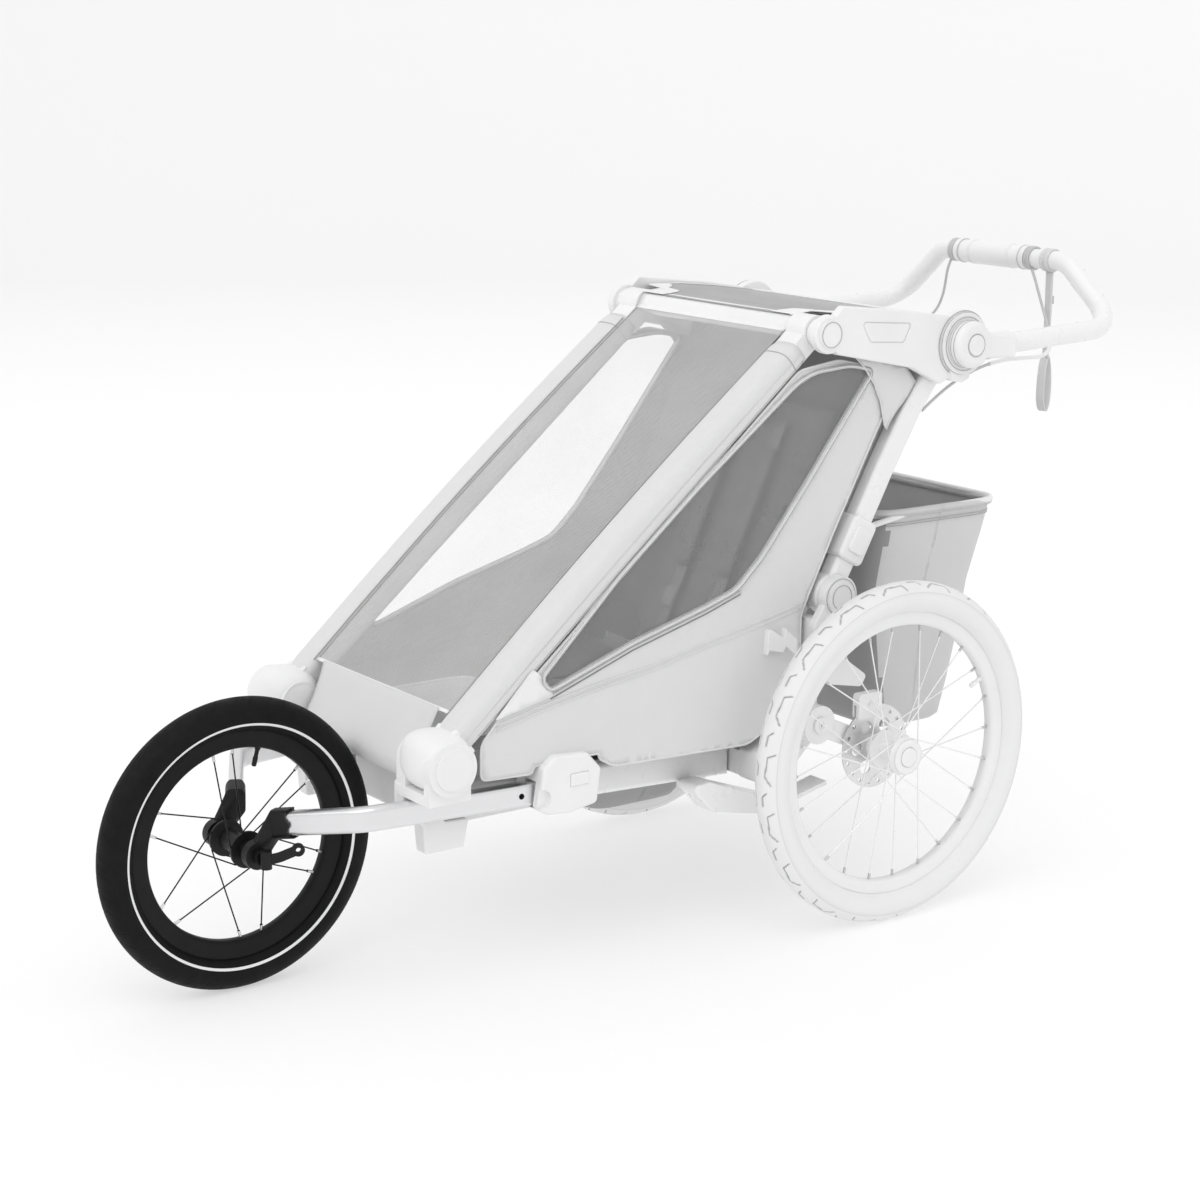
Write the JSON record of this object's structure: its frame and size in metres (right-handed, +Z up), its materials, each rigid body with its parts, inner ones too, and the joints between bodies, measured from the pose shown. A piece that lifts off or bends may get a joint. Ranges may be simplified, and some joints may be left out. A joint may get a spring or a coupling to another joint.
{
  "type": "child bicycle trailer",
  "caption": "Folding child trailer with suspended rear wheels, a cabin with mesh and film windows, a pushing handlebar, a cargo bag and a jogging front wheel.",
  "frame": {"origin": "on the ground, below the middle of the whole trailer's length and width", "axes": "+X to the trailer's left side, +Y to the rear (the handlebar), +Z up"},
  "size_m": [0.663, 1.5915, 0.932],
  "materials": {
    "frame_white": "satin pale paint",
    "plastic_white": "moulded, fine texture",
    "arm_aluminium": "brushed and polished",
    "cast_black": "cast, satin black",
    "fabric_white": "coated ripstop",
    "seat_fabric": "padded woven",
    "harness_web": "webbing",
    "window_film": "tinted flexible film",
    "bag_fabric": "coated woven",
    "mesh_fabric": "open mesh",
    "strap_web": "webbing",
    "cable_grey": "sleeved cable",
    "tyre_black": "treaded rubber",
    "rim_black": "satin anodised",
    "spoke_black": "black with bright nipples",
    "tyre_pale": "treaded rubber",
    "rim_pale": "satin",
    "spoke_steel": "drawn wire",
    "rotor_steel": "ground"
  },
  "bodies": {
    "chassis": {"side_rails": "frame_white", "cross_tubes": "frame_white", "corner_joints": "plastic_white", "arm_receivers": "plastic_white", "jog_arms": "arm_aluminium", "dropouts": "cast_black", "front_axle": "cast_black", "foot_well": "fabric_white", "seat_base": "seat_fabric", "seat_back": "seat_fabric", "harness": "harness_web", "side_panels": "fabric_white", "windows": "window_film", "apron": "fabric_white", "rear_brackets": "plastic_white", "fold_joints": "plastic_white", "cargo_bag": "bag_fabric", "bag_frame": "frame_white", "leaf_springs": "frame_white", "panel_clips": "plastic_white"},
    "front_frame": {"pillars": "plastic_white", "top_crossbar": "frame_white", "front_cover": "mesh_fabric"},
    "top_frame": {"top_members": "plastic_white", "rear_beam": "frame_white", "roof_canopy": "mesh_fabric"},
    "uprights": {"uprights": "frame_white"},
    "handlebar": {"handlebar_tube": "frame_white", "handlebar_hubs": "plastic_white", "wrist_strap": "strap_web", "brake_cables": "cable_grey"},
    "brake_grip": {"brake_grip": "plastic_white"},
    "front_wheel": {"front_tyre": "tyre_black", "front_rim": "rim_black", "front_spokes": "spoke_black", "front_hub": "cast_black"},
    "quick_release": {"quick_release_lever": "cast_black"},
    "parking_brake": {"parking_brake_lever": "plastic_white"},
    "wheel_left": {"rear_tyre_left": "tyre_pale", "rear_rim_left": "rim_pale", "rear_spokes_left": "spoke_steel", "rear_hub_left": "plastic_white", "brake_rotor_left": "rotor_steel"},
    "wheel_button_left": {"wheel_button_left": "plastic_white"},
    "suspension_left": {"swing_arm_left": "frame_white", "brake_caliper_left": "plastic_white"},
    "fold_latch_left": {"fold_latch_left": "plastic_white"},
    "hub_button_left": {"hub_button_left": "plastic_white"},
    "receiver_button_left": {"receiver_button_left": "plastic_white"},
    "wheel_right": {"rear_tyre_right": "tyre_pale", "rear_rim_right": "rim_pale", "rear_spokes_right": "spoke_steel", "rear_hub_right": "plastic_white", "brake_rotor_right": "rotor_steel"},
    "wheel_button_right": {"wheel_button_right": "plastic_white"},
    "suspension_right": {"swing_arm_right": "frame_white", "brake_caliper_right": "plastic_white"},
    "fold_latch_right": {"fold_latch_right": "plastic_white"},
    "hub_button_right": {"hub_button_right": "plastic_white"},
    "receiver_button_right": {"receiver_button_right": "plastic_white"}
  },
  "joints": [
    {"name": "fold", "type": "hinge", "parent": "chassis", "child": "front_frame", "pos_m": [0, -0.41125, 0.329], "axis": [1, 0, 0], "range_deg": [-22, 0], "deforming": ["side_panels", "windows", "seat_back", "harness", "front_cover", "apron"]},
    {"name": "fold_roof", "type": "hinge", "parent": "front_frame", "child": "top_frame", "pos_m": [0, 0.20575, 0.848], "axis": [1, 0, 0], "range_deg": [0, 42.96]},
    {"name": "fold_upright", "type": "hinge", "parent": "chassis", "child": "uprights", "pos_m": [0, 0.24075, 0.474], "axis": [1, 0, 0], "range_deg": [-39, 0]},
    {"name": "handlebar_tilt", "type": "hinge", "parent": "top_frame", "child": "handlebar", "pos_m": [0, 0.45875, 0.82], "axis": [1, 0, 0], "range_deg": [-35, 60], "deforming": ["brake_cables"]},
    {"name": "brake_twist", "type": "hinge", "parent": "handlebar", "child": "brake_grip", "pos_m": [0, 0.77675, 0.913], "axis": [1, 0, 0], "range_deg": [0, 50], "stiffness_Nm_per_rad": 0.8, "springref_deg": -17.19},
    {"name": "front_wheel_spin", "type": "hinge", "parent": "chassis", "child": "front_wheel", "pos_m": [0, -0.59625, 0.1995], "axis": [1, 0, 0], "continuous": true},
    {"name": "quick_release_swing", "type": "hinge", "parent": "chassis", "child": "quick_release", "pos_m": [0.08, -0.59625, 0.1995], "axis": [0, 0, 1], "range_deg": [-150, 0]},
    {"name": "parking_brake_press", "type": "hinge", "parent": "chassis", "child": "parking_brake", "pos_m": [0.25, 0.20475, 0.376], "axis": [1, 0, 0], "range_deg": [-14, 0]},
    {"name": "suspension_left", "type": "hinge", "parent": "chassis", "child": "suspension_left", "pos_m": [0.242, 0.19975, 0.295], "axis": [1, 0, 0], "range_deg": [0, 6], "stiffness_Nm_per_rad": 70, "springref_deg": -17.19},
    {"name": "wheel_spin_left", "type": "hinge", "parent": "suspension_left", "child": "wheel_left", "pos_m": [0.298, 0.30075, 0.25], "axis": [1, 0, 0], "continuous": true},
    {"name": "wheel_release_left", "type": "slide", "parent": "wheel_left", "child": "wheel_button_left", "axis": [-1, 0, 0], "range_m": [0, 0.003], "stiffness_N_per_m": 400, "springref_m": -0.002},
    {"name": "latch_lift_left", "type": "slide", "parent": "uprights", "child": "fold_latch_left", "axis": [0, 0.4796, 0.8775], "range_m": [0, 0.012], "stiffness_N_per_m": 300, "springref_m": -0.01},
    {"name": "hub_release_left", "type": "slide", "parent": "handlebar", "child": "hub_button_left", "axis": [-1, 0, 0], "range_m": [0, 0.0015], "stiffness_N_per_m": 400, "springref_m": -0.002},
    {"name": "arm_release_left", "type": "slide", "parent": "chassis", "child": "receiver_button_left", "axis": [-1, 0, 0], "range_m": [0, 0.002], "stiffness_N_per_m": 400, "springref_m": -0.002},
    {"name": "suspension_right", "type": "hinge", "parent": "chassis", "child": "suspension_right", "pos_m": [-0.242, 0.19975, 0.295], "axis": [1, 0, 0], "range_deg": [0, 6], "stiffness_Nm_per_rad": 70, "springref_deg": -17.19},
    {"name": "wheel_spin_right", "type": "hinge", "parent": "suspension_right", "child": "wheel_right", "pos_m": [-0.298, 0.30075, 0.25], "axis": [1, 0, 0], "continuous": true},
    {"name": "wheel_release_right", "type": "slide", "parent": "wheel_right", "child": "wheel_button_right", "axis": [1, 0, 0], "range_m": [0, 0.003], "stiffness_N_per_m": 400, "springref_m": -0.002},
    {"name": "latch_lift_right", "type": "slide", "parent": "uprights", "child": "fold_latch_right", "axis": [0, 0.4796, 0.8775], "range_m": [0, 0.012], "stiffness_N_per_m": 300, "springref_m": -0.01},
    {"name": "hub_release_right", "type": "slide", "parent": "handlebar", "child": "hub_button_right", "axis": [1, 0, 0], "range_m": [0, 0.0015], "stiffness_N_per_m": 400, "springref_m": -0.002},
    {"name": "arm_release_right", "type": "slide", "parent": "chassis", "child": "receiver_button_right", "axis": [1, 0, 0], "range_m": [0, 0.002], "stiffness_N_per_m": 400, "springref_m": -0.002}
  ],
  "couplings": [
    {"joint": "fold_roof", "follows": "fold", "ratio": -1.93},
    {"joint": "fold_upright", "follows": "fold", "ratio": 1.75}
  ]
}
